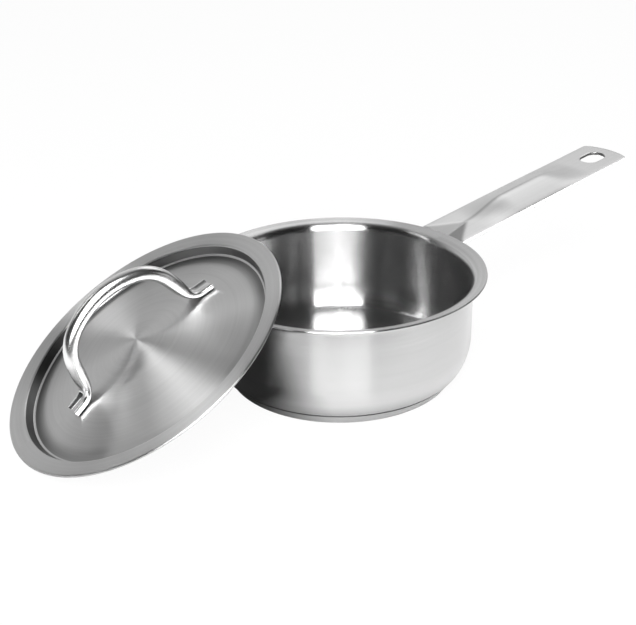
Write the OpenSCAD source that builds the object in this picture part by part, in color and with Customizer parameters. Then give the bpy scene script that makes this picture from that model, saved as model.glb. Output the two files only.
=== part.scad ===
// Saute pan with a pouring lip, a hollow long handle and a loose lid.
// Millimetres. The origin is the centre of the base on the table, +Z is up
// and +X runs along the long handle. The lid stands as it is photographed:
// its lower edge on the table, its underside against the pan's lip.

/* [Pan] */
// Inside diameter of the straight wall
mouth_d = 160; // [140:1:200]
// How far the pouring lip reaches out past the wall
lip_reach = 8.5; // [7:0.1:11]
// Height of the lip's edge above the table
pan_h = 68.2; // [62:0.1:80]
// Thickness of the drawn shell
shell_t = 1; // [0.7:0.1:1.2]
// Outside radius of the belly, where the wall turns into the bottom
belly_r = 33; // [30:0.5:36]
// Height at which the belly starts to curve in
belly_top = 27; // [25:0.5:30]
// Rise of the lip above level, in degrees
lip_slope = 14; // [8:1:20]
// Outside radius of the bend under the lip
lip_bend_r = 4.5; // [3.5:0.1:5.5]
// Reach of the corner between floor and belly
floor_corner = 2.5; // [1.5:0.1:4]

/* [Base] */
// Thickness of the aluminium disc
core_t = 6.7; // [5:0.1:8]
// Thickness of the steel cap under the disc
cap_t = 0.6; // [0.4:0.1:1]
// How far the flat that stands on the table lies in from the wall
base_inset = 12.5; // [12:0.1:16]
// Width of the groove between cap and shell
groove_w = 0.5; // [0.3:0.1:0.8]
// Room around the aluminium disc inside the cap
core_clear = 0.1; // [0.05:0.05:0.3]

/* [Long handle] */
// Length of the handle from the wall to its tip
handle_len = 174; // [155:1:210]
// Width of the handle
handle_w = 37.9; // [32:0.1:42]
// Wall of the hollow handle; the flat tab is two walls pressed together
handle_wall = 1.1; // [0.9:0.1:1.3]
// Rise of the handle above level, in degrees
handle_rise = 7.8; // [5:0.1:11]
// How far the handle's edges meet the pan below the lip
handle_drop = 0.7; // [0.4:0.1:2]
// Height of the crown over the edges
crown_h = 6.3; // [4:0.1:8]
// Depth of the underside below the edges
handle_depth = 9.5; // [7:0.5:12]
// Length of the flat tab
tab_len = 38; // [34:0.5:42]
// Radius of the tip's round end, seen from above
tip_r = 45; // [40:1:70]
// Length of the hanging slot
slot_l = 19; // [16:0.5:22]
// Width of the hanging slot
slot_w = 14.2; // [8:0.1:15]
// Distance from the slot's centre to the tip
slot_inset = 18; // [16:0.5:20]
// Depth of the pinched valley at the root
valley_depth = 4; // [2:0.1:5]
// Length of the valley outside the lip
valley_len = 21; // [15:0.5:26]
// Gap that the weld fills between handle and wall
weld_gap = 0.1; // [0.05:0.05:0.2]
// Leg of the weld's fillet around the handle's root
weld_leg = 1.8; // [1.2:0.1:2.5]

/* [Lid] */
// Thickness of the lid's sheet
lid_t = 0.8; // [0.6:0.1:1]
// How far the lid reaches past the lip all round
lid_overhang = 1.3; // [0.8:0.1:3]
// Room between the lid's plug and the pan's wall
plug_clear = 1.25; // [0.8:0.05:2]
// Depth of the plug below the lid's edge
plug_depth = 7; // [5:0.1:9]
// Draft of the plug's wall, in degrees
plug_draft = 22; // [10:1:26]
// Height of the panel's cone over the lid's edge
dome_h = 5.4; // [3:0.1:8]
// Rise of the flange from the plug to the edge
flange_rise = 0.8; // [0.4:0.1:1.2]

/* [Lid handle] */
// Diameter of the handle's tube
grip_d = 8.6; // [7:0.1:10]
// Wall of the handle's tube
grip_wall = 1; // [0.8:0.1:1.2]
// Height of the handle's highest point above the lid's edge
grip_h = 45.5; // [41:0.1:52]
// Overall length of the handle, foot to foot
grip_len = 105.4; // [98:0.1:112]
// Radius of the handle's top bend, on the tube's centre line
grip_top_r = 47.7; // [42:0.5:52]
// Radius of the handle's shoulders, on the tube's centre line
grip_shoulder_r = 25.3; // [20:0.5:28]
// Slope of the handle's legs, in degrees
grip_leg_slope = 75; // [70:1:80]
// Width of the pressed feet
foot_w = 12; // [11:0.1:13]
// Length of the pressed feet
foot_len = 13; // [11:0.5:16]
// Height of the two rounded sides of a foot
foot_t = 3.8; // [3.2:0.1:4.4]
// Depth of the groove pressed along the middle of a foot
foot_groove = 1.7; // [0.8:0.1:1.8]
// Turn of the handle away from the lid's line of lean, in degrees
grip_turn = 6.4; // [-30:0.1:30]
// Gap between a foot and the panel, filled by the spot welds
foot_gap = 0.15; // [0.1:0.05:0.3]
// Diameter of a spot weld
spot_d = 3.2; // [2:0.1:3.6]

/* [Resting place of the lid] */
// Lean of the lid above the table, in degrees
lean = 31; // [26:0.5:36]
// Direction of the lid from the pan's axis, in degrees from the handle
lean_azimuth = 168.6; // [120:0.2:240]
// Gap between the lid and the lip that carries it
lean_gap = 0.3; // [0.2:0.05:0.6]
// Gap between the lid's edge and the table
table_gap = 0.1; // [0.05:0.05:0.3]

/* [Hidden] */
$fn = 128;

// Derived sizes of the pan
mouth_r = mouth_d / 2;
wall_r = mouth_r + shell_t;
lip_r = wall_r + lip_reach;
base_r = wall_r - base_inset;
cap_lap = 0.9;
cap_round = 0.6;
floor_z = cap_t + core_t;
belly_c = wall_r - belly_r;
belly_drop = asin((belly_top - floor_z) / belly_r);
shell_corner_r = belly_c + belly_r * cos(belly_drop);
bend_c = wall_r + lip_bend_r;
bend_end_r = bend_c - lip_bend_r * sin(lip_slope);
lip_run = lip_r - bend_end_r;
bend_z = pan_h - shell_t * cos(lip_slope) - lip_bend_r * cos(lip_slope)
         - lip_run * tan(lip_slope);

// Derived sizes of the long handle
handle_reach = wall_r + handle_len;
half_w = handle_w / 2;
tab_half = handle_wall;
tab_x = handle_reach - tab_len;
crown_x0 = lip_r + valley_len;
crown_rise_len = 34;
crown_fall_len = 38;
depth_fall_len = 66;
root_x = wall_r - 16;
cavity_end_x = tab_x - 12;
valley_spread = 0.87;
valley_deepest = 1.2;
valley_widest = 1.1;
station_count = 36;
handle_sides = 32;
weld_count = 28;
crease_soft = 0.25;
keel_soft = 0.5;
weld_seat = 0.05;

// Derived sizes of the lid
lid_r = lip_r + lid_overhang;
plug_r = mouth_r - plug_clear - lid_t;
plug_top_r = plug_r + (plug_depth - flange_rise) * tan(plug_draft);
shoulder_r = plug_r - 8;
shoulder_drop = 1.4;
cone_end_h = shoulder_drop - plug_depth;
cone_slope = atan((dome_h - cone_end_h) / shoulder_r);
tube_r = grip_d / 2;
apex_reach = 6;
foot_half_t = foot_t / 2;
press_len = 5;
pad_len = 7.5;
groove_spread = 0.62;
grip_sides = 20;
spot_inset = 4;
spot_spread = 2.6;
spot_seat = 0.03;

// Points along an arc around c, from angle a0 to a1
function arc(c, r, a0, a1, n) =
    [for (i = [0:n]) let (a = a0 + (a1 - a0) * i / n) c + r * [cos(a), sin(a)]];

// Points of a bend that leaves p0 and reaches p1, drawn towards the corner c
function bend(p0, c, p1, n = 4) =
    [for (i = [0:n]) let (s = i / n) (1 - s) * (1 - s) * p0 + 2 * s * (1 - s) * c + s * s * p1];

function unit(v) = v / norm(v);
function left_of(v) = [-v.y, v.x];

// A line of points moved sideways by d, to the left of its own direction
function beside(path, d) =
    [for (i = [0:len(path) - 1])
        let (n0 = left_of(unit(path[max(i, 1)] - path[max(i, 1) - 1])),
             j = min(i, len(path) - 2),
             n1 = left_of(unit(path[j + 1] - path[j])))
        path[i] + d * (n0 + n1) / (1 + n0 * n1)];

function backwards(path) = [for (i = [len(path) - 1:-1:0]) path[i]];

// A sheet of even thickness t on the left of a line
function sheet(path, t) = concat(path, backwards(beside(path, t)));

// A curve that eases from 0 to 1 between s = 0 and s = 1
function ease(s) = let (k = max(0, min(1, s))) k * k * (3 - 2 * k);

// Outside of the drawn shell, from the axis over the belly to the lip
shell_line = concat(
    [[0, floor_z]],
    bend([shell_corner_r - floor_corner, floor_z],
         [shell_corner_r, floor_z],
         [belly_c, belly_top] + belly_r * [cos(belly_drop - 4), -sin(belly_drop - 4)]),
    arc([belly_c, belly_top], belly_r, 8 - belly_drop, 0, 7),
    arc([bend_c, bend_z], lip_bend_r, 180, 90 + lip_slope, 10),
    [[lip_r, bend_z + lip_bend_r * cos(lip_slope) + lip_run * tan(lip_slope)]]);

// Outside of the steel cap, from the axis to its upper edge
cap_top = [shell_corner_r - cap_lap, floor_z - groove_w];
cap_line = concat(
    [[0, 0]],
    bend([base_r - cap_round, 0], [base_r + cap_round, 0],
         [base_r + 2.2 * cap_round, 2 * cap_round]),
    [cap_top]);

// Top face of the lid, from the rounded apex to the turned edge
function panel_h(r) = dome_h - r * tan(cone_slope);
apex_h = panel_h(apex_reach / 2);
lid_line = concat(
    bend([0, apex_h], [apex_reach / 2, apex_h], [apex_reach, panel_h(apex_reach)], 3),
    bend([shoulder_r - 3, cone_end_h + 3 * tan(cone_slope)],
         [shoulder_r, cone_end_h],
         [shoulder_r + 3, cone_end_h - 0.9], 3),
    bend([plug_r - 1.5, 0.25 - plug_depth],
         [plug_r, -plug_depth],
         [plug_r + 0.5, 1.1 - plug_depth], 4),
    bend([plug_top_r - 0.5, -flange_rise - 1.3],
         [plug_top_r, -flange_rise],
         [plug_top_r + 1.3, -flange_rise + 0.1], 4),
    bend([lid_r - 1.6, 0], [lid_r, 0.1], [lid_r, -0.9], 5));
lid_under = [for (p = beside(lid_line, -lid_t)) [max(0, p.x), p.y]];

// Height of the lid's underside at a distance r from its axis
function under_h(r) = lookup(r, lid_under);

// The lid's centre stands so high that its lowest edge clears the table
lid_points = concat(lid_line, lid_under);
lid_z = table_gap + max([for (p = lid_points) p.x * sin(lean) - p.y * cos(lean)]);

// Gap along the lid's normal between its underside and a circle of the lip,
// with the lid's centre at a distance d from the pan's axis
function gap_at(d, r, z, a) =
    let (inward = d - r * cos(a), side = r * sin(a), up = z - lid_z,
         s = inward * cos(lean) + up * sin(lean),
         h = up * cos(lean) - inward * sin(lean),
         q = norm([s, side]))
    q > lid_r ? 100 : under_h(q) - h;
function least_gap(d) =
    min([for (a = [0:1.5:75]) min(gap_at(d, lip_r - shell_t * sin(lip_slope), pan_h, a),
                                  gap_at(d, lip_r, pan_h - shell_t * cos(lip_slope), a))]);

// Halving steps that close in on the distance with the wanted gap
function settle(near, far, steps) =
    steps == 0 ? far :
    let (mid = (near + far) / 2)
    least_gap(mid) < lean_gap ? settle(mid, far, steps - 1) : settle(near, mid, steps - 1);
lid_d = settle(lip_r, lip_r + lid_r, 30);

// Sections of the long handle, all square to X
function edge_z(x) = pan_h - handle_drop + (x - lip_r) * tan(handle_rise);
function crown(x) = crown_h * ease((x - crown_x0) / crown_rise_len)
                            * ease((tab_x - x) / crown_fall_len);
function depth(x) = handle_depth * ease((tab_x - x) / depth_fall_len);
function bump(q, soft) = (norm([1, soft]) - norm([q, soft])) / (norm([1, soft]) - soft);
function ridge(q) = bump(q, crease_soft);
function keel(q) = bump(q, keel_soft);
function round_edge(q) = pow(max(0, 1 - pow(q, 16)), 0.25);
function valley(x, y) =
    let (s = max(0, (crown_x0 - x) / valley_len),
         reach = valley_spread * half_w * min(valley_widest, s))
    reach > 0.01 ? valley_depth * min(valley_deepest, s) * max(0, 1 - abs(y) / reach) : 0;
function handle_ring(x, inset, sides) =
    [for (i = [0:sides - 1])
        let (a = 360 * i / sides, q = abs(cos(a)), y = (half_w - inset) * cos(a),
             up = tab_half * round_edge(q) + crown(x) * ridge(q) - valley(x, y),
             down = tab_half * round_edge(q) + depth(x) * keel(q))
        [x, y, edge_z(x) + (sin(a) >= 0 ? up - inset * round_edge(q)
                                        : inset * round_edge(q) - down)]];

// A closed skin over rings of equally many points
module skin(rings) {
    n = len(rings[0]);
    last = len(rings) - 1;
    faces = concat(
        [[for (i = [0:n - 1]) i]],
        [for (k = [0:last - 1], i = [0:n - 1])
            [k * n + i, (k + 1) * n + i, k * n + (i + 1) % n]],
        [for (k = [0:last - 1], i = [0:n - 1])
            [k * n + (i + 1) % n, (k + 1) * n + i, (k + 1) * n + (i + 1) % n]],
        [[for (i = [n - 1:-1:0]) last * n + i]]);
    polyhedron(points = [for (r = rings) each r], faces = faces, convexity = 6);
}

// Stations along the handle, closer where its section changes
function stations(x0, x1) =
    [for (i = [0:station_count])
        let (x = root_x + (handle_reach + 1 - root_x) * i / station_count)
        if (x > x0 + 1 && x < x1 - 1) x];

module handle_skin(x0, x1, inset) {
    skin([for (x = concat([x0], stations(x0, x1), [x1])) handle_ring(x, inset, handle_sides)]);
}

// Everything inside the pan's outside, and above the lip, with the weld's gap
module pan_keepout() {
    outside = beside(shell_line, -weld_gap);
    rotate_extrude() polygon(concat(
        [for (p = outside) [max(0, p.x), p.y]],
        [[lip_r + weld_gap, pan_h + 30], [0, pan_h + 30]]));
}

module pan_body() {
    color("silver") rotate_extrude() polygon(sheet(shell_line, shell_t));
}

module base_core() {
    inside = beside(cap_line, cap_t + core_clear);
    top = inside[len(inside) - 1];
    foot = inside[len(inside) - 2];
    color("lightgrey") rotate_extrude() polygon(
        [[0, cap_t], [foot.x - 2 * cap_round, cap_t], foot,
         [foot.x + (top.x - foot.x) * (floor_z - foot.y) / (top.y - foot.y), floor_z],
         [0, floor_z]]);
}

module base_cap() {
    color("darkgrey") rotate_extrude() polygon(sheet(cap_line, cap_t));
}

module slot() {
    x = handle_reach - slot_inset;
    translate([x, 0, edge_z(x)]) rotate([0, -handle_rise, 0])
        linear_extrude(handle_depth, center = true) {
            square([slot_l - slot_w, slot_w], center = true);
            for (side = [-1, 1])
                translate([side * (slot_l - slot_w) / 2, 0]) circle(d = slot_w);
        }
}

// What lies past the round end of the tab, seen from above
module beyond_tip() {
    difference() {
        translate([tab_x + tab_half, -handle_w, pan_h - tab_len])
            cube([2 * tab_len, 2 * handle_w, 3 * tab_len]);
        translate([handle_reach - tip_r, 0, pan_h - 2 * tab_len])
            cylinder(r = tip_r, h = 5 * tab_len);
    }
}

module handle_tube() {
    color("lightgrey") difference() {
        handle_skin(root_x, handle_reach + 1, 0);
        handle_skin(root_x - 1, cavity_end_x, handle_wall);
        pan_keepout();
        slot();
        beyond_tip();
    }
}

// The line along which the handle's outside meets the wall, below the lip
weld_x = wall_r + weld_gap;
weld_points =
    [for (i = [0:weld_count])
        let (a = 180 + 180 * i / weld_count, q = abs(cos(a)), y = half_w * cos(a),
             x = sqrt(weld_x * weld_x - y * y))
        if (edge_z(x) - depth(x) * keel(q) < bend_z)
            [x, y, edge_z(x) - tab_half * round_edge(q) - depth(x) * keel(q)]];
forward = unit([1, 0, tan(handle_rise)]);

// One section of the weld's fillet, between the wall and the handle
function weld_ring(i) =
    let (n = len(weld_points) - 1, p = weld_points[i],
         along = unit(weld_points[min(n, i + 1)] - weld_points[max(0, i - 1)]),
         away = unit(cross(along, unit([p.x, p.y, 0]))))
    [p + weld_seat * (forward + away), p + weld_leg * forward + weld_seat * away,
     p + weld_leg * away + weld_seat * forward];

module handle_weld() {
    color("grey") skin([for (i = [0:len(weld_points) - 1]) weld_ring(i)]);
}

module on_lid() {
    rotate([0, 0, lean_azimuth]) translate([lid_d, 0, lid_z]) rotate([0, lean, 0]) children();
}

module lid_panel() {
    color("silver") on_lid() rotate_extrude() polygon(concat(lid_line, backwards(lid_under)));
}

// Centre line of one half of the lid's handle, from its top to its foot.
// The foot is the tube's end pressed into two rounded sides with a groove between
// them; its pad lies level on the panel's cone.
foot_end = grip_len / 2;
foot_mid_h = foot_gap + foot_half_t / cos(cone_slope);
heel_lift = 0.5;
heel = [foot_end - foot_len, panel_h(foot_end - foot_len) + foot_mid_h + heel_lift];
pad = [foot_end - pad_len, panel_h(foot_end - pad_len) + foot_mid_h];
toe = [foot_end, panel_h(foot_end) + foot_mid_h];
crown_c = [0, grip_h - tube_r - grip_top_r];
turn_a = 29;
shoulder_c = crown_c + (grip_top_r - grip_shoulder_r) * [sin(turn_a), cos(turn_a)];
leg_top = shoulder_c + grip_shoulder_r * [sin(grip_leg_slope), cos(grip_leg_slope)];
grip_half = concat(
    arc(crown_c, grip_top_r, 90, 90 - turn_a, 5),
    arc(shoulder_c, grip_shoulder_r, 86 - turn_a, 90 - grip_leg_slope, 5),
    bend(0.35 * leg_top + 0.65 * heel, heel, pad, 6),
    [0.5 * pad + 0.5 * toe, toe]);
grip_line = concat([for (i = [len(grip_half) - 1:-1:1]) [-grip_half[i].x, grip_half[i].y]],
                   grip_half);

// How far a point of the centre line is on its way from round tube to pressed foot
function flatness(p) = ease((abs(p.x) - heel.x) / press_len + 0.6);

function grip_ring(i, inset) =
    let (n = len(grip_line) - 1,
         along = unit(grip_line[min(n, i + 1)] - grip_line[max(0, i - 1)]),
         up = left_of(along), f = flatness(grip_line[i]),
         wide = tube_r + (foot_w / 2 - tube_r) * f - inset,
         thick = tube_r + (foot_half_t - tube_r) * f - inset)
    [for (k = [0:grip_sides - 1])
        let (a = 360 * k / grip_sides, c = cos(a), s = sin(a),
             power = 1 - (s > 0 ? 0.35 : 0.6) * f,
             w = sign(c) * pow(abs(c), power), q = w / groove_spread,
             dip = s > 0 ? foot_groove * f * f * max(0, 1 - q * q) : 0,
             p = grip_line[i] + (thick * sign(s) * pow(abs(s), power) - dip) * up)
        [p.x, wide * w, p.y]];

module grip_skin(first, last, inset) {
    skin([for (i = [first:last]) grip_ring(i, inset)]);
}

module lid_handle() {
    hollow = [for (i = [0:len(grip_line) - 1]) if (flatness(grip_line[i]) < 0.6) i];
    color("gainsboro") on_lid() rotate([0, 0, grip_turn]) difference() {
        grip_skin(0, len(grip_line) - 1, 0);
        grip_skin(hollow[0], hollow[len(hollow) - 1], grip_wall);
    }
}

module lid_spot_welds() {
    r = foot_end - spot_inset;
    color("grey") on_lid() for (side = [0, 180], y = [-1, 1])
        rotate([0, 0, grip_turn + side]) translate([r, y * spot_spread, panel_h(r)])
            rotate([0, cone_slope, 0]) translate([0, 0, spot_seat])
                cylinder(d = spot_d, h = foot_gap - 2 * spot_seat);
}

pan_body();
base_core();
base_cap();
handle_tube();
handle_weld();
lid_panel();
lid_handle();
lid_spot_welds();
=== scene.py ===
"""A small stainless steel saute pan with its lid leaning on the lip.

Lengths are named in millimetres and turned into metres by MM; lamps and floor are in
metres. Angles are in radians, shares have no unit. The frame is the solid model's:
origin at the centre of the base, +X along the long handle, +Z up.
"""

import math

import bmesh
import bpy
from mathutils import Matrix, Vector


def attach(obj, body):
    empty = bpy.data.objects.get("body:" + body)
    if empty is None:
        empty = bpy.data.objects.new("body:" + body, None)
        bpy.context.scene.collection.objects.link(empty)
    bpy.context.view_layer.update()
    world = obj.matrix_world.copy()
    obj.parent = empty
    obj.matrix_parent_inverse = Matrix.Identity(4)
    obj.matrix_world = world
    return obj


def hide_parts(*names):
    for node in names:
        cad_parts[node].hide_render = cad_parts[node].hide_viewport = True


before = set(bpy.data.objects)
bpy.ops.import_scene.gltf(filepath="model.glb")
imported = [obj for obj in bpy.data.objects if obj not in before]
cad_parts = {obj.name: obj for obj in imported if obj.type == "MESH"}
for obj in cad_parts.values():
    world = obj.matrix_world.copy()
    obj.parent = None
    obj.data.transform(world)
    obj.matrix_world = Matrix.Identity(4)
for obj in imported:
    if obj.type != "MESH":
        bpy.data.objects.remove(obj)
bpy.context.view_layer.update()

MM = 0.001
TURN = 2 * math.pi
QUARTER = math.pi / 2
ON_AXIS = 1e-4

# ---------------------------------------------------------------- pan
MOUTH_R = 80.0
SHELL_T = 1.0
WALL_R = MOUTH_R + SHELL_T
LIP_R = 89.5
PAN_H = 68.2
FLOOR_Z = 7.3
BELLY_R = 33.0
BELLY_TOP = 27.0
BELLY_C = WALL_R - BELLY_R
BELLY_DROP = math.asin((BELLY_TOP - FLOOR_Z) / BELLY_R)
CORNER_R = BELLY_C + BELLY_R * math.cos(BELLY_DROP)
FLOOR_CORNER = 2.5
LIP_BEND = 4.5
LIP_SLOPE = math.radians(14)
LIP_RUN = LIP_R - (WALL_R + LIP_BEND - LIP_BEND * math.sin(LIP_SLOPE))
LIP_END = 0.3
BEND_Z = PAN_H - (SHELL_T + LIP_BEND) * math.cos(LIP_SLOPE) - LIP_RUN * math.tan(LIP_SLOPE)

# ---------------------------------------------------------------- base cap
BASE_R = 68.5
CAP_T = 0.6
CAP_FOOT = ((-1.0, 0.0), (0.7, 0.0), (1.3, 1.3))  # corners are seen from their own point
CAP_LAP = 0.9
GROOVE_W = 0.5
GROOVE_EDGE = 0.45

# ---------------------------------------------------------------- long handle
TIP_X = 255.0
HALF_W = 37.9 / 2
TAB_HALF = 1.1
TAB_X = TIP_X - 38.0
RISE = math.tan(math.radians(7.8))
HANDLE_DROP = 0.7
CROWN_H = 6.3
CROWN_X0 = LIP_R + 21.0
CROWN_RISE = 34.0
CROWN_FALL = 38.0
CREASE_SOFT = 0.25
KEEL_H = 9.5
KEEL_FALL = 66.0
KEEL_SOFT = 0.5
VALLEY_LEN = 21.0
VALLEY_DEPTH = 4.0
VALLEY_REACH = 0.87 * HALF_W
VALLEY_SOFT = 0.03
TIP_R = 45.0
TIP_CORNER = 2.0
TIP_ROUND = 0.8
SLOT_X = TIP_X - 18.0
SLOT_L = 19.0
SLOT_W = 14.2
SLOT_START = SLOT_X - SLOT_L / 2
SLOT_END = SLOT_X + SLOT_L / 2
SLOT_EDGE = 0.72  # share of the thickness left at the slot's rim
ROOT_GAP = 0.12
ROOT_X = math.sqrt(WALL_R ** 2 - HALF_W ** 2)
ROOT_END = 112.0
UNDER_LIP_END = 0.2  # how far past the lip the handle still stays under it
THINNEST = 0.05  # what is left where the lip presses on the root

COLUMNS = 26
# the outer columns of the top get the rim's painted light steel
EDGE_COLUMN = 22  # from here out the top has the edge's look
LONG_STEPS = 96
TIP_STEPS = 8
SLOT_ANGLE = 6  # degrees of the slot's ends from station to station

# painted shade on the handle's top: how dark the valley's near side and the ridge line get, and
# how soft
PINCH_PAINTED_SHADE = 0.55
RIDGE_PAINTED_SHADE = 0.4
RIDGE_Y = 0.9
RIDGE_W = 1.2
PINCH_SOFT = 1.6

# ---------------------------------------------------------------- lid
LID_R = LIP_R + 1.3
LID_T = 0.8
PLUG_R = MOUTH_R - 1.25 - LID_T
PLUG_DEPTH = 7.0
FLANGE_RISE = 0.8
DOME_H = 5.4
PLUG_TOP_R = PLUG_R + (PLUG_DEPTH - FLANGE_RISE) * math.tan(math.radians(22))
SHOULDER_R = PLUG_R - 8.0
CONE_END = 1.4 - PLUG_DEPTH
CONE_TAN = (DOME_H - CONE_END) / SHOULDER_R
APEX_R = 3.0
SHOULDER = ((-3, 3 * CONE_TAN), (0, 0), (3, -0.9))
PLUG_FOOT = ((-1.5, 0.25), (0, 0), (0.5, 1.1))
PLUG_TOP = ((-0.5, -1.3), (0, 0), (1.3, 0.1))
LID_EDGE = ((-1.6, 0), (0, 0.1), (0, -0.9))
# painted shade on the lid's shoulder next to the recess: where it starts, and the side, as an
# angle, that it leaves out
SHADE_R = PLUG_R - 9.0
SHADE_AWAY = math.radians(80)
# up to which radius each material number holds; numbers 3 and 1 carry painted shade
LID_LOOKS = ((SHADE_R - 4, 0), (PLUG_R - 1.1, 3), (PLUG_R + 0.3, 2), (PLUG_TOP_R - 0.3, 1))

# ---------------------------------------------------------------- lid handle
GRIP_R = 4.3
GRIP_H = 45.5
GRIP_HALF = 52.7
GRIP_TOP_R = 47.7
GRIP_SHOULDER_R = 25.3
GRIP_LEG = math.radians(75)
GRIP_TURN_A = math.radians(29)
GRIP_TURN = math.radians(6.4)
FOOT_LEN = 13.0
FOOT_W = 12.0
FOOT_HALF_T = 1.9
FOOT_GROOVE = 1.7
FOOT_GROOVE_W = 0.62
FOOT_GAP = 0.15
FOOT_LIFT = 0.5
FOOT_FLAT_TOP = 0.35
FOOT_FLAT_BELOW = 0.6
PAD_LEN = 7.5
PRESS_LEN = 5.0
PRESS_LEAD = 0.6
LEG_START = 0.65
ARC_STEPS = 24
AROUND = 64

# ---------------------------------------------------------------- where the lid leans
LEAN = math.radians(31)
LEAN_AZ = math.radians(168.6)
LID_D = 128.71
LID_Z = 47.637
ON_LID = (Matrix.Rotation(LEAN_AZ, 4, "Z") @ Matrix.Translation((LID_D, 0, LID_Z))
          @ Matrix.Rotation(LEAN, 4, "Y"))


# ---------------------------------------------------------------- drawing lines
def arc(cx, cz, r, a0, a1, n):
    """Points of an arc, angles in radians."""
    return [(cx + r * math.cos(a0 + (a1 - a0) * i / n), cz + r * math.sin(a0 + (a1 - a0) * i / n))
            for i in range(n + 1)]


def bend(p0, c, p1, n):
    """A soft corner that leaves p0 and reaches p1, drawn towards c."""
    out = []
    for i in range(n + 1):
        s = i / n
        k0, k1, k2 = (1 - s) ** 2, 2 * s * (1 - s), s * s
        out.append((k0 * p0[0] + k1 * c[0] + k2 * p1[0], k0 * p0[1] + k1 * c[1] + k2 * p1[1]))
    return out


def corner(r, z, soft, n=8):
    """A soft corner at (r, z). Soft holds where it starts, what draws it and where it
    ends, all seen from that point."""
    return bend(*[(r + dr, z + dz) for dr, dz in soft], n)


def beside(path, d):
    """The line moved sideways by d, to the left of its own direction."""
    out = []
    for i, p in enumerate(path):
        k = max(i, 1)
        j = min(i, len(path) - 2)
        a = (Vector(path[k]) - Vector(path[k - 1])).normalized()
        b = (Vector(path[j + 1]) - Vector(path[j])).normalized()
        na, nb = Vector((-a.y, a.x)), Vector((-b.y, b.x))
        q = Vector(p) + d * (na + nb) / (1 + na.dot(nb))
        out.append((max(q.x, 0.0) if p[0] < 1e-6 else q.x, q.y))
    return out


def denser(path, step):
    """The same line with no two points further apart than step."""
    out = [path[0]]
    for p, q in zip(path, path[1:]):
        n = max(1, int(math.dist(p, q) / step))
        out += [(p[0] + (q[0] - p[0]) * i / n, p[1] + (q[1] - p[1]) * i / n)
                for i in range(1, n + 1)]
    return out


def measured(path):
    """How far along the line each of its points lies."""
    run = [0.0]
    for p, q in zip(path, path[1:]):
        run.append(run[-1] + math.dist(p, q))
    return run


def ease(s):
    """From 0 to 1 with a soft start and a soft end."""
    s = max(0.0, min(1.0, s))
    return s * s * (3 - 2 * s)


def round_end(p_out, p_in, n=6):
    """Half a circle of points that joins the two faces of a sheet at its edge."""
    a, b = Vector(p_out), Vector(p_in)
    c, r = (a + b) / 2, (a - b) / 2
    side = Vector((r.y, -r.x))
    return [tuple(c + r * math.cos(math.pi * i / n) + side * math.sin(math.pi * i / n))
            for i in range(1, n)]


# ---------------------------------------------------------------- mesh making
def new_object(name, bm, sharp=50):
    """Turns a bmesh in millimetres into a smooth object in metres. Edges that turn by
    more than sharp degrees stay sharp."""
    bmesh.ops.recalc_face_normals(bm, faces=bm.faces)
    bmesh.ops.scale(bm, vec=(MM, MM, MM), verts=bm.verts)
    mesh = bpy.data.meshes.new(name)
    bm.to_mesh(mesh)
    bm.free()
    mesh.shade_smooth()
    mesh.set_sharp_from_angle(angle=math.radians(sharp))
    obj = bpy.data.objects.new(name, mesh)
    bpy.context.scene.collection.objects.link(obj)
    return obj


def turned(name, line, place=None, steps=256, looks=()):
    """Spins a line of (r, z) that starts and ends on the axis about Z. The UV map runs
    across the brushed lines in U, in millimetres of the line, and along them in V. Looks
    holds the number of the material for the faces that start at each point of the line,
    zero past its end."""
    bm = bmesh.new()
    number = bm.verts.layers.int.new("Line point")
    verts = []
    for i, (r, z) in enumerate(line):
        verts.append(bm.verts.new((r, 0, z)))
        verts[-1][number] = i
    edges = [bm.edges.new(pair) for pair in zip(verts, verts[1:])]
    bmesh.ops.spin(bm, geom=verts + edges, cent=(0, 0, 0), axis=(0, 0, 1), dvec=(0, 0, 0),
                   angle=TURN, steps=steps, use_merge=True, use_duplicate=False)
    poles = [v for v in bm.verts if math.hypot(v.co.x, v.co.y) < ON_AXIS]
    bmesh.ops.remove_doubles(bm, verts=poles, dist=ON_AXIS)
    run = measured(line)
    uv = bm.loops.layers.uv.new("Brush")
    for face in bm.faces:
        start = min(v[number] for v in face.verts)
        face.material_index = looks[start] if start < len(looks) else 0
        middle = face.calc_center_median()
        about = math.atan2(middle.y, middle.x) % TURN
        for lp in face.loops:
            x, y = lp.vert.co.xy
            off = (math.atan2(y, x) - about + math.pi) % TURN - math.pi
            if math.hypot(x, y) < ON_AXIS:
                off = 0.0
            lp[uv].uv = (run[lp.vert[number]], ALONG_R * (about + off))
    if place is not None:
        bmesh.ops.transform(bm, matrix=place, verts=bm.verts)
    return new_object(name, bm)


# ---------------------------------------------------------------- pan and base
def shell_lines():
    """Outside and inside of the drawn shell, from the axis to the lip's edge."""
    belly_end, belly_start = (math.radians(a) - BELLY_DROP for a in (4, 5))
    outer = ([(0.0, FLOOR_Z)]
             + bend((CORNER_R - FLOOR_CORNER, FLOOR_Z), (CORNER_R, FLOOR_Z),
                    (BELLY_C + BELLY_R * math.cos(belly_end),
                     BELLY_TOP + BELLY_R * math.sin(belly_end)), 8)
             + arc(BELLY_C, BELLY_TOP, BELLY_R, belly_start, 0, 24)
             + [(WALL_R, BEND_Z - 17), (WALL_R, BEND_Z - 1)]
             + arc(WALL_R + LIP_BEND, BEND_Z, LIP_BEND, math.pi, QUARTER + LIP_SLOPE, 16)
             + [(LIP_R - LIP_END, BEND_Z + LIP_BEND * math.cos(LIP_SLOPE)
                 + (LIP_RUN - LIP_END) * math.tan(LIP_SLOPE))])
    return outer, beside(outer, SHELL_T)


def make_pan():
    outer, inner = shell_lines()
    out = denser(outer, 4.0)
    line = out + round_end(outer[-1], inner[-1]) + denser(inner, 4.0)[::-1]
    return turned("pan_shell", line, looks=[0] * len(out) + [1] * (len(line) - len(out)))


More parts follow.
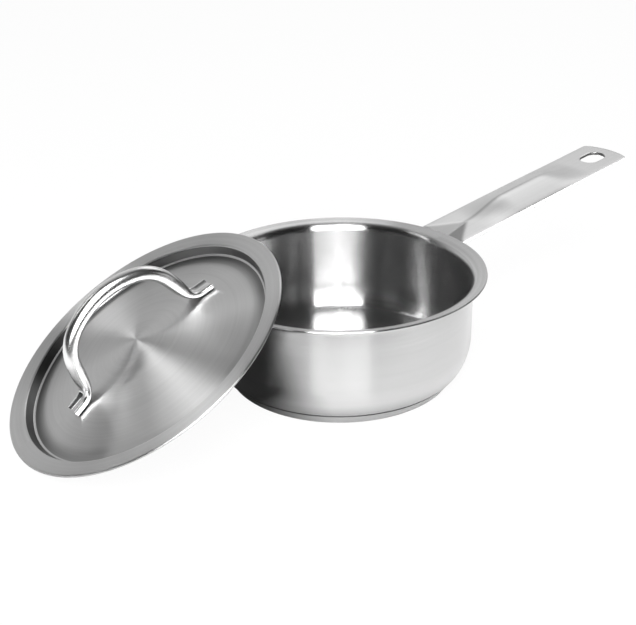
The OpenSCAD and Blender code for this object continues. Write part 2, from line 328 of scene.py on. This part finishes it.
def make_cap():
    """The pressed cap. The faces next to the groove carry the groove's painted shade."""
    foot = corner(BASE_R, 0, CAP_FOOT)
    top = (CORNER_R - CAP_LAP, FLOOR_Z - GROOVE_W)
    below = tuple(Vector(top).lerp(Vector(foot[-1]), GROOVE_EDGE / math.dist(top, foot[-1])))
    outer = [(0.0, 0.0)] + foot + [below, top]
    inner = beside(outer, CAP_T)
    side = denser(outer, 3.0)
    edge = round_end(outer[-1], inner[-1], 4)
    line = side + edge + inner[::-1]
    return turned("base_shell", line, looks=[0] * (len(side) - 2) + [1] * (len(edge) + 3))


# ---------------------------------------------------------------- long handle
def edge_z(x):
    """Height of the handle's edge line."""
    return PAN_H - HANDLE_DROP + (x - LIP_R) * RISE


def crown(x):
    """How far the top stands over the edge in the middle of the handle."""
    return CROWN_H * ease((x - CROWN_X0) / CROWN_RISE) * ease((TAB_X - x) / CROWN_FALL)


def keel(x):
    """How far the underside hangs below the edge in the middle of the handle."""
    return KEEL_H * ease((TAB_X - x) / KEEL_FALL)


def roof(q, soft):
    """A roof with a rounded ridge: one in the middle, zero at the edge, where q is 1."""
    return (math.hypot(1, soft) - math.hypot(q, soft)) / (math.hypot(1, soft) - soft)


def round_edge(q):
    """Share of the sheet's thickness left at q, falling only close to the edge."""
    return max(0.0, 1 - q ** 16) ** 0.25


def valley(x, y):
    """How deep the top is pinched where the handle nears the pan."""
    s = max(0.0, (CROWN_X0 - x) / VALLEY_LEN)
    reach = VALLEY_REACH * min(1.1, s)
    if reach < 0.01:
        return 0.0
    k = 1 - abs(y) / reach
    return VALLEY_DEPTH * min(1.2, s) * (k + math.hypot(k, VALLEY_SOFT)) / 2


def pinch_shade(x, y):
    """Painted shade on the pressed top: the valley's near side, then the ridge."""
    reach = VALLEY_REACH * max(0.0, (CROWN_X0 - x) / VALLEY_LEN)
    side = ease((reach + y) / PINCH_SOFT) * ease((RIDGE_Y - y) / (2 * RIDGE_Y))
    along = ease((x - CROWN_X0 + 9) / 12) * ease((TAB_X + 6 - x) / 90)
    ridge = along * math.exp(-((y - RIDGE_Y) / RIDGE_W) ** 2)
    return max(PINCH_PAINTED_SHADE * side, RIDGE_PAINTED_SHADE * ridge)


def under_lip(r):
    """Height of the outside of wall and lip at a radius, less the gap of the joint."""
    x = r - WALL_R - ROOT_GAP
    if x <= 0:
        return BEND_Z - ROOT_GAP
    straight = LIP_BEND * (1 - math.sin(LIP_SLOPE))
    if x < straight:
        return BEND_Z + math.sqrt(LIP_BEND ** 2 - (LIP_BEND - x) ** 2) - ROOT_GAP
    return (BEND_Z + LIP_BEND * math.cos(LIP_SLOPE) + (x - straight) * math.tan(LIP_SLOPE)
            - ROOT_GAP)


def slot_half(x):
    """Half the slot's width at x, zero outside it."""
    run = abs(x - SLOT_X) - (SLOT_L - SLOT_W) / 2
    r = SLOT_W / 2
    if run <= 0:
        return r
    return math.sqrt(r * r - run * run) if run < r else 0.0


def tip_sag(y):
    """How far the round end lies short of the tip at y, its soft corners included."""
    sag = TIP_R - math.sqrt(TIP_R ** 2 - y * y)
    over = abs(y) - (HALF_W - TIP_CORNER)
    if over > 0:
        sag += TIP_CORNER - math.sqrt(max(0.0, TIP_CORNER ** 2 - over ** 2))
    return sag


def handle_stations():
    """Places along the handle, closer together around the slot."""
    long_end = SLOT_START - 3
    xs = [ROOT_X + (long_end - ROOT_X) * i / LONG_STEPS for i in range(LONG_STEPS + 1)]
    r = SLOT_W / 2
    flat = (SLOT_L - SLOT_W) / 2
    ends = [r * (1 - math.cos(math.radians(SLOT_ANGLE * i))) for i in range(16)]
    xs += [SLOT_START - 1.5]
    xs += [SLOT_START + e for e in ends]
    xs += [SLOT_X - flat / 2, SLOT_X, SLOT_X + flat / 2]
    xs += [SLOT_END - e for e in reversed(ends)]
    xs += [SLOT_END + (TIP_X - SLOT_END) * i / TIP_STEPS for i in range(1, TIP_STEPS + 1)]
    return xs


def handle_point(x, y_share, side, face):
    """A point of the handle's top (face 1) or bottom (face -1), on the column that lies
    at y_share of the way from the slot or the middle to the edge."""
    w = slot_half(x)
    y = side * (w + (HALF_W - w) * math.sin(QUARTER * y_share))
    q = min(1.0, abs(y) / HALF_W)
    if x < ROOT_END:
        root = math.sqrt((WALL_R + ROOT_GAP) ** 2 - y * y)
        x = root + (ROOT_END - root) * (x - ROOT_X) / (ROOT_END - ROOT_X)
    elif x > SLOT_END:
        x -= tip_sag(y) * (x - SLOT_END) / (TIP_X - SLOT_END)
    end = TIP_X - tip_sag(y) - x
    thin = math.sqrt(max(0.0, 1 - (1 - min(1.0, end / TIP_ROUND)) ** 2))
    if w > 0 and y_share == 0:
        thin = min(thin, SLOT_EDGE)
    z = edge_z(x)
    if y_share < 1:
        z += face * TAB_HALF * round_edge(q) * thin
        z += crown(x) * roof(q, CREASE_SOFT) - valley(x, y) if face > 0 else (
            -keel(x) * roof(q, KEEL_SOFT))
    r = math.hypot(x, y)
    if r < LIP_R + UNDER_LIP_END:
        z = min(z, under_lip(r) - (THINNEST if face < 0 and y_share < 1 else 0))
    return Vector((x, y, z))


def make_handle():
    """Four grids, top and bottom of each side, meet at the middle and the edge. The walls
    of the slot and the root end are drawn down from the top's rim to the bottom's."""
    bm = bmesh.new()
    station = bm.verts.layers.int.new("Station")
    column = bm.verts.layers.int.new("Column")
    xs = handle_stations()
    last = len(xs) - 1

    def put(v, face):
        c = v[column]
        v.co = handle_point(xs[v[station]], (abs(c) - 1) / COLUMNS, math.copysign(1, c), face)

    def at_rim(edge):
        """On the top's open side: the root end or the slot."""
        return (all(v[station] == 0 for v in edge.verts)
                or all(abs(v[column]) == 1 for v in edge.verts)
                and any(slot_half(xs[v[station]]) > 0 for v in edge.verts))

    rims = []
    for face in (1, -1):
        for side in (1, -1):
            grid = bmesh.ops.create_grid(bm, x_segments=last, y_segments=COLUMNS, size=0.5)
            for v in grid["verts"]:
                v[station] = round((v.co.x + 0.5) * last)
                v[column] = side * (1 + round((v.co.y + 0.5) * COLUMNS))
                put(v, face)
            for f in {f for v in grid["verts"] for f in v.link_faces}:
                outer = min(abs(v[column]) for v in f.verts) > EDGE_COLUMN
                f.material_index = 1 if face < 0 or outer else 0
            if face > 0:
                rims += {e for v in grid["verts"] for e in v.link_edges if at_rim(e)}
    for part in bmesh.ops.extrude_edge_only(bm, edges=rims)["geom"]:
        if isinstance(part, bmesh.types.BMVert):
            put(part, -1)
        elif isinstance(part, bmesh.types.BMFace):
            part.material_index = 2
    bmesh.ops.remove_doubles(bm, verts=bm.verts, dist=0.0005)
    bmesh.ops.dissolve_degenerate(bm, dist=0.0002, edges=bm.edges)
    uv = bm.loops.layers.uv.new("Brush")
    # painted shade of the valley and the ridge, per corner
    dark = bm.loops.layers.float.new("Shade")
    for f in bm.faces:
        for lp in f.loops:
            x, y = lp.vert.co.xy
            lp[uv].uv = (y, x)
            lp[dark] = pinch_shade(x, y)
    return new_object("long_handle", bm, 62)


# ---------------------------------------------------------------- lid
def panel_h(r):
    """Height of the lid's cone at a radius."""
    return DOME_H - r * CONE_TAN


def lid_line():
    """Top face of the lid, from the apex to its turned edge."""
    return (bend((0, panel_h(APEX_R)), (APEX_R, panel_h(APEX_R)),
                 (2 * APEX_R, panel_h(2 * APEX_R)), 8)
            + corner(SHOULDER_R, CONE_END, SHOULDER, 6)
            + corner(PLUG_R, -PLUG_DEPTH, PLUG_FOOT)
            + corner(PLUG_TOP_R, -FLANGE_RISE, PLUG_TOP)
            + corner(LID_R, 0, LID_EDGE))


def make_lid():
    """The pressed lid. By radius, its recess wall and the shoulder inside it carry painted shade.
    """
    top = lid_line()
    under = beside(top, -LID_T)
    face = denser(top, 4.0)
    line = face + round_end(top[-1], under[-1], 4) + denser(under, 4.0)[::-1]
    looks = [next((look for limit, look in LID_LOOKS if r < limit), 0) for r, _ in face]
    return turned("lid_plate", line, ON_LID, looks=looks)


def grip_path():
    """Centre line of the lid's handle, foot to foot, with even fine steps."""
    mid = FOOT_GAP + FOOT_HALF_T / math.cos(math.atan(CONE_TAN))

    def on_foot(x, lift=0.0):
        return Vector((x, panel_h(x) + mid + lift))

    heel = on_foot(GRIP_HALF - FOOT_LEN, FOOT_LIFT)
    pad = on_foot(GRIP_HALF - PAD_LEN)
    toe = on_foot(GRIP_HALF)
    top_c = Vector((0, GRIP_H - GRIP_R - GRIP_TOP_R))
    reach = GRIP_TOP_R - GRIP_SHOULDER_R
    sh_c = top_c + reach * Vector((math.sin(GRIP_TURN_A), math.cos(GRIP_TURN_A)))
    leg = sh_c + GRIP_SHOULDER_R * Vector((math.sin(GRIP_LEG), math.cos(GRIP_LEG)))
    start = (1 - LEG_START) * leg + LEG_START * heel
    half = [Vector(p) for p in
            arc(*top_c, GRIP_TOP_R, QUARTER, QUARTER - GRIP_TURN_A, ARC_STEPS)
            + arc(*sh_c, GRIP_SHOULDER_R, QUARTER - GRIP_TURN_A - 0.03, QUARTER - GRIP_LEG,
                  ARC_STEPS)]
    half += [leg.lerp(start, i / 5) for i in range(1, 5)]
    half += [Vector(p) for p in bend(tuple(start), tuple(heel), tuple(pad), ARC_STEPS)]
    half += [pad.lerp(toe, i / 8) for i in range(1, 9)]
    return [Vector((-p.x, p.y)) for p in reversed(half[1:])] + half


def grip_section(p, d, k):
    """A point of the tube's section at p, across the direction d: a circle on the grip,
    pressed flat with a groove on the feet."""
    up = Vector((-d.y, d.x))
    f = ease((abs(p.x) - (GRIP_HALF - FOOT_LEN)) / PRESS_LEN + PRESS_LEAD)
    wide = GRIP_R + (FOOT_W / 2 - GRIP_R) * f
    thick = GRIP_R + (FOOT_HALF_T - GRIP_R) * f
    a = TURN * k / AROUND
    c, s = math.cos(a), math.sin(a)
    power = 1 - (FOOT_FLAT_TOP if s > 0 else FOOT_FLAT_BELOW) * f
    w = math.copysign(abs(c) ** power, c)
    v = thick * math.copysign(abs(s) ** power, s)
    if s > 0:
        v -= FOOT_GROOVE * f * f * max(0.0, 1 - (w / FOOT_GROOVE_W) ** 2)
    q = p + v * up
    return Vector((q.x, wide * w, q.y))


def make_grip():
    """A capped ring, drawn out along the path step by step."""
    bm = bmesh.new()
    turn = bm.verts.layers.int.new("Turn")
    step = bm.verts.layers.int.new("Step")
    path = grip_path()
    last = len(path) - 1
    bmesh.ops.create_circle(bm, cap_ends=True, segments=AROUND, radius=1.0)
    for v in bm.verts:
        v[turn] = round(math.atan2(v.co.y, v.co.x) / TURN * AROUND) % AROUND
    ring, edges = list(bm.verts), list(bm.edges)
    for i, p in enumerate(path):
        if i > 0:
            drawn = bmesh.ops.extrude_edge_only(bm, edges=edges)["geom"]
            ring = [g for g in drawn if isinstance(g, bmesh.types.BMVert)]
            edges = [g for g in drawn if isinstance(g, bmesh.types.BMEdge)
                     and all(v in ring for v in g.verts)]
        d = (path[min(i + 1, last)] - path[max(i - 1, 0)]).normalized()
        for v in ring:
            v[step] = i
            v.co = grip_section(p, d, v[turn])
    bmesh.ops.edgeloop_fill(bm, edges=edges)
    run = measured(path)
    uv = bm.loops.layers.uv.new("Brush")
    for face in bm.faces:
        seam = len({v[turn] for v in face.verts} & {0, AROUND - 1}) == 2
        for lp in face.loops:
            k = lp.vert[turn]
            k = AROUND if seam and k == 0 else k
            lp[uv].uv = (k * TURN * GRIP_R / AROUND, run[lp.vert[step]])
    bmesh.ops.transform(bm, matrix=ON_LID @ Matrix.Rotation(GRIP_TURN, 4, "Z"), verts=bm.verts)
    return new_object("lid_grip", bm, 55)


# ---------------------------------------------------------------- nodes
def add(tree, kind, inputs=(), **settings):
    """A new node. Its settings come first, then each input gets a value or a link."""
    made = tree.nodes.new(kind)
    for key, value in settings.items():
        setattr(made, key, value)
    for key, value in dict(inputs).items():
        if isinstance(value, bpy.types.NodeSocket):
            tree.links.new(value, made.inputs[key])
        else:
            made.inputs[key].default_value = value
    return made


def maths(tree, operation, *values):
    """The result of a Math node."""
    return add(tree, "ShaderNodeMath", enumerate(values), operation=operation).outputs[0]


def span(tree, value, start, end, **settings):
    """Zero at start, one at end, by how far value lies between them."""
    return add(tree, "ShaderNodeMapRange", {"Value": value, "From Min": start, "From Max": end},
               **settings).outputs["Result"]


def mixed(tree, factor, a, b):
    """A colour between two colours."""
    return add(tree, "ShaderNodeMix", {"Factor": factor, "A": a, "B": b},
               data_type="RGBA").outputs["Result"]


def grey(tone):
    return (tone, tone, tone, 1)


def new_group(name, inputs, outputs):
    """A node group, the sockets of its input node and those of its output node."""
    tree = bpy.data.node_groups.new(name, "ShaderNodeTree")
    for way, sockets in (("INPUT", inputs), ("OUTPUT", outputs)):
        for label, kind in sockets.items():
            tree.interface.new_socket(name=label, in_out=way, socket_type="NodeSocket" + kind)
    return tree, tree.nodes.new("NodeGroupInput").outputs, tree.nodes.new("NodeGroupOutput").inputs


def new_material(name, metal):
    """A material with a Principled BSDF, its node tree and that shader's inputs."""
    mat = bpy.data.materials.new(name)
    mat.use_nodes = True
    inputs = mat.node_tree.nodes["Principled BSDF"].inputs
    inputs["Metallic"].default_value = metal
    return mat, mat.node_tree, inputs


# ---------------------------------------------------------------- finishes, painted light and painted shade
ALONG_R = 60.0  # V is the angle times this radius, the same on every ring
FINE_LINES = (3.0, 0.012)  # cells per millimetre across and along
BROAD_LINES = (0.45, 0.006)
FINE_SHARE = 0.6
BROAD_SHARE = 0.8
LINE_ROUGH = -0.25
LINE_HEIGHT = 0.0001
AWAY_EDGE = (0.9, 0.2)  # cosines between which the tone starts to fall
GRAIN_SCALE = 900
GRAIN_DARK = 0.85
GRAIN_ROUGH = 0.06


def brushed_lines():
    """Fine lines along V: what they do to a steel's colour, roughness and height."""
    tree, given, gives = new_group("Brushed lines",
                                   {"Tone": "Color", "Roughness": "Float", "Contrast": "Float"},
                                   {"Colour": "Color", "Rough": "Float", "Height": "Float"})
    uv = add(tree, "ShaderNodeUVMap", uv_map="Brush").outputs["UV"]

    def lines(across, along):
        place = add(tree, "ShaderNodeMapping", {"Vector": uv, "Scale": (across, along, 1)})
        return add(tree, "ShaderNodeTexNoise", {"Vector": place.outputs["Vector"],
                                                "Scale": 1.0, "Detail": 2.0}).outputs["Fac"]

    def swing_of(noise, share):
        return maths(tree, "MULTIPLY", maths(tree, "SUBTRACT", noise, 0.5), share)

    fine = lines(*FINE_LINES)
    both = maths(tree, "ADD", swing_of(fine, FINE_SHARE),
                 swing_of(lines(*BROAD_LINES), BROAD_SHARE))
    swing = maths(tree, "MULTIPLY", both, given["Contrast"])
    bright = add(tree, "ShaderNodeHueSaturation",
                 {"Color": given["Tone"], "Value": maths(tree, "ADD", swing, 1.0)})
    rough = maths(tree, "ADD", given["Roughness"], maths(tree, "MULTIPLY", swing, LINE_ROUGH))
    tree.links.new(bright.outputs["Color"], gives["Colour"])
    tree.links.new(rough, gives["Rough"])
    tree.links.new(fine, gives["Height"])
    return tree


def painted_shade_fall():
    """Painted shade: a tone that falls to a lower one along U, from Start to End. Side
    Share says how much the side of the piece at the angle Side is left out."""
    tree, given, gives = new_group("Painted shade fall",
                                   {"Tone": "Color", "Painted Shade Tone": "Color", "Start": "Float",
                                    "End": "Float", "Side": "Float", "Side Share": "Float"},
                                   {"Tone": "Color"})
    uv = add(tree, "ShaderNodeUVMap", uv_map="Brush").outputs["UV"]
    axes = add(tree, "ShaderNodeSeparateXYZ", {0: uv}).outputs
    fallen = span(tree, axes[0], given["Start"], given["End"], interpolation_type="SMOOTHSTEP")
    angle = maths(tree, "SUBTRACT", maths(tree, "DIVIDE", axes[1], ALONG_R), given["Side"])
    far = span(tree, maths(tree, "COSINE", angle), *AWAY_EDGE)
    near = maths(tree, "MULTIPLY", maths(tree, "SUBTRACT", 1.0, far), given["Side Share"])
    amount = maths(tree, "MULTIPLY", fallen, maths(tree, "SUBTRACT", 1.0, near))
    tree.links.new(mixed(tree, amount, given["Tone"], given["Painted Shade Tone"]), gives["Tone"])
    return tree


def metal_grain():
    """Small even changes of tone and roughness, on Object coordinates."""
    tree, given, gives = new_group("Metal grain",
                                   {"Tone": "Color", "Dark Tone": "Color", "Roughness": "Float"},
                                   {"Colour": "Color", "Rough": "Float"})
    place = add(tree, "ShaderNodeTexCoord").outputs["Object"]
    noise = add(tree, "ShaderNodeTexNoise", {"Vector": place, "Scale": GRAIN_SCALE}).outputs["Fac"]
    swing = add(tree, "ShaderNodeMapRange", {"Value": noise, "To Min": -GRAIN_ROUGH,
                                             "To Max": GRAIN_ROUGH}).outputs["Result"]
    tree.links.new(mixed(tree, noise, given["Dark Tone"], given["Tone"]), gives["Colour"])
    tree.links.new(maths(tree, "ADD", given["Roughness"], swing), gives["Rough"])
    return tree


BRUSHED = brushed_lines()
PAINTED_SHADE_FALL = painted_shade_fall()
GRAIN = metal_grain()


def steel(name, tone, rough, aniso, contrast, bump=0.02, fall=None, shaded=False, metal=1.0):
    """A brushed or polished stainless steel. Its brushing follows the UV map. Fall is a
    painted shade: where along U the tone starts to fall, where it ends, its share left
    there, and the side of the piece, as an angle, that it leaves out. A shaded steel gets
    painted shade where the mesh's Shade attribute says so."""
    mat, tree, inputs = new_material(name, metal)
    inputs["Anisotropic"].default_value = aniso
    colour = grey(tone)
    if fall:
        start, end, left, side = fall
        colour = add(tree, "ShaderNodeGroup", {
            "Tone": grey(tone), "Painted Shade Tone": grey(left * tone), "Start": start, "End": end,
            "Side": side or 0.0, "Side Share": 0.0 if side is None else 1.0},
            node_tree=PAINTED_SHADE_FALL).outputs["Tone"]
    if shaded:
        shade = add(tree, "ShaderNodeAttribute", attribute_name="Shade").outputs["Fac"]
        colour = mixed(tree, shade, grey(tone), grey(0.0))
    lines = add(tree, "ShaderNodeGroup", {"Tone": colour, "Roughness": rough,
                                          "Contrast": contrast}, node_tree=BRUSHED).outputs
    tree.links.new(lines["Colour"], inputs["Base Color"])
    tree.links.new(lines["Rough"], inputs["Roughness"])
    if bump:
        relief = add(tree, "ShaderNodeBump", {"Strength": bump, "Distance": LINE_HEIGHT,
                                              "Height": lines["Height"]})
        tree.links.new(relief.outputs["Normal"], inputs["Normal"])
    if aniso:
        along = add(tree, "ShaderNodeTangent", direction_type="UV_MAP", uv_map="Brush")
        tree.links.new(along.outputs["Tangent"], inputs["Tangent"])
    return mat


def plain_metal(name, tone, rough):
    """A cast or rolled metal for the solids that hardly show."""
    mat, tree, inputs = new_material(name, 1.0)
    grain = add(tree, "ShaderNodeGroup", {
        "Tone": (*tone, 1), "Dark Tone": (*[GRAIN_DARK * t for t in tone], 1),
        "Roughness": rough}, node_tree=GRAIN).outputs
    tree.links.new(grain["Colour"], inputs["Base Color"])
    tree.links.new(grain["Rough"], inputs["Roughness"])
    return mat


# painted shade: the fall darkens the outer wall towards the base corner, where it reflects the
# shaded floor
PAN_STEEL = steel("Pan steel", 0.50, 0.21, 1.0, 0.12,
                  fall=(CORNER_R + 12, CORNER_R, 0.62, None))
PAN_INSIDE = steel("Pan inside steel", 0.54, 0.22, 1.0, 0.4)
# painted shade: the low tone stands in for the shaded floor that the base reflects at its foot
BASE_SHADED_STEEL = steel("Base painted shade steel", 0.34, 0.28, 0.8, 0.2)
# painted shade: the faces beside the groove are near black
GROOVE_SHADED_STEEL = steel("Groove edge painted shade steel", 0.1, 0.35, 0.0, 0.1, 0.0)
LID_STEEL = steel("Lid steel", 0.52, 0.30, 1.0, 0.22)
# painted shade on the shoulder inside the recess, left out on the near side
LID_SHADE = steel("Lid shoulder painted shade steel", 0.52, 0.30, 1.0, 0.22,
                  fall=(SHADE_R, PLUG_R - 0.5, 0.3, SHADE_AWAY))
# painted shade: the recess wall is near black
LID_WALL_SHADED = steel("Lid wall painted shade steel", 0.10, 0.3, 0.5, 0.2)
LID_FOOT = steel("Lid wall foot steel", 0.50, 0.35, 0.0, 0.1, 0.0)
# the Shade attribute paints shade into the valley's near side and along the ridge
HANDLE_STEEL = steel("Handle steel", 0.60, 0.34, 0.5, 0.15, shaded=True)
# painted light: a pale, partly diffuse copy of the handle steel, so the rim and underside look lit
HANDLE_RIM_PAINTED_LIGHT = steel("Handle rim and underside painted light steel", 0.82, 0.6, 0.0, 0.15, metal=0.3)
# painted shade: the slot's wall is a dull near black
SLOT_SHADED_STEEL = steel("Slot wall painted shade steel", 0.04, 0.5, 0.0, 0.1, 0.0, metal=0.0)
GRIP_STEEL = steel("Grip steel", 0.70, 0.23, 0.0, 0.1, 0.0)
# painted shade: the aluminium core shows near black in the shaded groove
CORE_SHADED_METAL = plain_metal("Core aluminium painted groove shade", (0.12, 0.12, 0.12), 0.6)
WELD_METAL = plain_metal("Weld steel", (0.55, 0.54, 0.53), 0.4)
SPOT_METAL = plain_metal("Spot weld steel", (0.5, 0.5, 0.5), 0.45)


def dress(obj, *mats):
    """Gives the materials in order. Clearing would also reset the faces' choices, so
    it's done only where there is something to clear."""
    if len(obj.data.materials):
        obj.data.materials.clear()
    for mat in mats:
        obj.data.materials.append(mat)


# ---------------------------------------------------------------- the object
for piece, body, node, slot, mats in (
        (make_pan(), "pan", "pan_body", "pan_steel", (PAN_STEEL, PAN_INSIDE)),
        (make_cap(), "pan", "base_cap", "base_steel", (BASE_SHADED_STEEL, GROOVE_SHADED_STEEL)),
        (make_handle(), "pan", "handle_tube", "handle_steel",
         (HANDLE_STEEL, HANDLE_RIM_PAINTED_LIGHT, SLOT_SHADED_STEEL)),
        (make_lid(), "lid", "lid_panel", "lid_steel", (LID_STEEL, LID_WALL_SHADED, LID_FOOT, LID_SHADE)),
        (make_grip(), "lid", "lid_handle", "grip_steel", (GRIP_STEEL,))):
    dress(piece, *mats)
    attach(piece, body)
    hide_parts(node)

dress(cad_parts["base_core"], CORE_SHADED_METAL)
dress(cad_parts["handle_weld"], WELD_METAL)
dress(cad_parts["lid_spot_welds"], SPOT_METAL)


# ---------------------------------------------------------------- camera
IMAGE_W = 636
SENSOR_W = 36
CAM_AZ = math.radians(-38.76)
CAM_EL = math.radians(24.96)
CAM_DIST = 710.7
CAM_ROLL = -0.0163
CAM_TARGET = Vector((-10.53, 8.45, 38.74))
CAM_F_PX = 1150.0


def from_photo(turn, el):
    """A direction seen from the object: turn clockwise from the camera's, seen from
    above, and el above the table."""
    az = CAM_AZ + turn
    return Vector((math.sin(az) * math.cos(el), -math.cos(az) * math.cos(el), math.sin(el)))


def make_camera():
    back = from_photo(0, CAM_EL)
    level = Vector((math.cos(CAM_AZ), math.sin(CAM_AZ), 0))
    right = level * math.cos(CAM_ROLL) + back.cross(level) * math.sin(CAM_ROLL)
    data = bpy.data.cameras.new("Camera")
    data.sensor_fit = "HORIZONTAL"
    data.sensor_width = SENSOR_W
    data.lens = CAM_F_PX / IMAGE_W * SENSOR_W
    data.clip_start = 0.02
    cam = bpy.data.objects.new("Camera", data)
    place = Matrix((right, back.cross(right), back)).transposed().to_4x4()
    place.translation = (CAM_TARGET + back * CAM_DIST) * MM
    cam.matrix_world = place
    bpy.context.scene.collection.objects.link(cam)
    bpy.context.scene.camera = cam


# ---------------------------------------------------------------- floor
FLOOR_R = 4.0
FLOOR_TONE = 0.95
FLOOR_PLAIN = 0.94
TABLE_NEAR = 0.21
TABLE_END = 0.26
TABLE_SIDE = 0.33
TABLE_SIDE_SOFT = 0.06
TABLE_TURN = math.radians(89)
PAST_TABLE = 0.04
# painted shadow of the lid on the floor, seen only in metal's reflections
SHADE_AT = (-0.126, 0.026, 0)
SHADE_FROM = 0.11
SHADE_FULL = 0.06


def make_floor():
    """White with the object's shadow for the camera. Metal sees it end a little way in
    front and at the side, and sees a painted shadow on it below the lid."""
    bm = bmesh.new()
    bmesh.ops.create_circle(bm, cap_ends=True, segments=96, radius=FLOOR_R)
    mesh = bpy.data.meshes.new("floor")
    bm.to_mesh(mesh)
    bm.free()
    obj = bpy.data.objects.new("floor", mesh)
    bpy.context.scene.collection.objects.link(obj)
    mat = bpy.data.materials.new("White floor")
    mat.use_nodes = True
    tree = mat.node_tree
    tree.nodes.clear()
    ray = add(tree, "ShaderNodeLightPath").outputs
    place = add(tree, "ShaderNodeTexCoord").outputs["Object"]

    def past_edge(turn, near, end):
        way = add(tree, "ShaderNodeVectorMath", {0: place, 1: from_photo(turn, 0)},
                  operation="DOT_PRODUCT")
        return span(tree, way.outputs["Value"], near, end)

    seen = maths(tree, "MAXIMUM", ray["Is Camera Ray"], ray["Is Transmission Ray"])
    lit = add(tree, "ShaderNodeBsdfDiffuse", {"Color": grey(FLOOR_TONE)})
    plain = add(tree, "ShaderNodeEmission", {"Color": grey(1)})
    white = add(tree, "ShaderNodeMixShader", {0: maths(tree, "MULTIPLY", seen, FLOOR_PLAIN),
                                              1: lit.outputs[0], 2: plain.outputs[0]})
    # painted shadow below the lid
    off = add(tree, "ShaderNodeVectorMath", {0: place, 1: SHADE_AT}, operation="DISTANCE")
    lid_shadow_painted = span(tree, off.outputs["Value"], SHADE_FROM, SHADE_FULL)
    table = maths(tree, "MAXIMUM", past_edge(0, TABLE_NEAR, TABLE_END),
                  past_edge(TABLE_TURN, TABLE_SIDE, TABLE_SIDE + TABLE_SIDE_SOFT))
    dim = maths(tree, "MULTIPLY", maths(tree, "MAXIMUM", table, lid_shadow_painted), ray["Is Glossy Ray"])
    dark = add(tree, "ShaderNodeEmission", {"Color": grey(PAST_TABLE)})
    ended = add(tree, "ShaderNodeMixShader", {0: dim, 1: white.outputs[0], 2: dark.outputs[0]})
    add(tree, "ShaderNodeOutputMaterial", {"Surface": ended.outputs[0]})
    dress(obj, mat)


# ---------------------------------------------------------------- surroundings
SWEEP_TURN = 12
SWEEP_UP = ((0.0, 0.85), (0.15, 0.85), (0.35, 0.8), (0.57, 0.75), (0.8, 0.75), (0.9, 0.45),
            (1.0, 0.35))
SWEEP_AROUND = ((0.0, 0.0), (0.55, 0.0), (0.7, 0.3), (0.85, 0.85), (1.0, 1.0))
ROOM_UP = ((0.0, 0.01), (1.0, 0.02))
FILL = 0.4


def make_world():
    """White all round for the camera. Metal sees a white sweep behind the object that
    turns grey upwards, and a dim room on the photographer's side."""
    world = bpy.data.worlds.new("Studio")
    bpy.context.scene.world = world
    world.use_nodes = True
    tree = world.node_tree
    tree.nodes.clear()

    def ramp(value, stops):
        made = add(tree, "ShaderNodeValToRGB", {"Fac": value})
        elements = made.color_ramp.elements
        while len(elements) < len(stops):
            elements.new(0.5)
        for element, (at, tone) in zip(elements, stops):
            element.position = at
            element.color = grey(tone)
        return made.outputs["Color"]

    def background(colour, strength=1.0):
        return add(tree, "ShaderNodeBackground",
                   {"Color": colour, "Strength": strength}).outputs[0]

    way = add(tree, "ShaderNodeTexCoord").outputs["Generated"]
    x, y, z = add(tree, "ShaderNodeSeparateXYZ", {0: way}).outputs
    flat = maths(tree, "SQRT", maths(tree, "ADD", maths(tree, "MULTIPLY", x, x),
                                     maths(tree, "MULTIPLY", y, y)))
    ahead = from_photo(math.radians(SWEEP_TURN), 0)
    along = maths(tree, "ADD", maths(tree, "MULTIPLY", x, -ahead.x),
                  maths(tree, "MULTIPLY", y, -ahead.y))
    around = maths(tree, "DIVIDE", along, maths(tree, "MAXIMUM", flat, 0.01))
    behind = ramp(maths(tree, "MULTIPLY_ADD", around, 0.5, 0.5), SWEEP_AROUND)
    sweep = maths(tree, "MULTIPLY", ramp(z, SWEEP_UP), behind)
    seen = maths(tree, "MAXIMUM", sweep, ramp(z, ROOM_UP))

    ray = add(tree, "ShaderNodeLightPath").outputs
    first = add(tree, "ShaderNodeMixShader", {0: ray["Is Glossy Ray"],
                                              1: background(grey(1), FILL), 2: background(seen)})
    plain = maths(tree, "MAXIMUM", ray["Is Camera Ray"], ray["Is Transmission Ray"])
    last = add(tree, "ShaderNodeMixShader", {0: plain, 1: first.outputs[0],
                                             2: background(grey(1))})
    add(tree, "ShaderNodeOutputWorld", {"Surface": last.outputs[0]})


# ---------------------------------------------------------------- lamps
LAMP_AWAY = 1.5
LAMP_TARGET = Vector((0, 0, 0.03))
LAMPS = (("Key right", 11.4, 33, (0.60, 1.6), 24.5),
         ("Key left", -17.5, 33, (0.36, 1.6), 13.4),
         ("Key middle", -5.3, 33, (0.28, 1.6), 7.9),
         ("Top", 150, 49, (1.2, 0.75), 2.4),
         ("Right low", 88, 14, (0.9, 0.6), 1.0),
         ("Left strip", -90, 40, (0.12, 0.8), 1.2))


def softbox(name, turn, elevation, size, watts):
    """A soft lamp that looks at the pan from a direction measured from the camera's,
    clockwise seen from above, in degrees."""
    data = bpy.data.lights.new(name, "AREA")
    data.shape = "RECTANGLE"
    data.size, data.size_y = size
    data.energy = watts
    obj = bpy.data.objects.new(name, data)
    away = from_photo(math.radians(turn), math.radians(elevation))
    obj.location = LAMP_TARGET + away * LAMP_AWAY
    obj.rotation_euler = away.to_track_quat("Z", "Y").to_euler()
    bpy.context.scene.collection.objects.link(obj)


make_camera()
make_floor()
make_world()
for lamp in LAMPS:
    softbox(*lamp)

bpy.context.scene.view_settings.view_transform = "Standard"
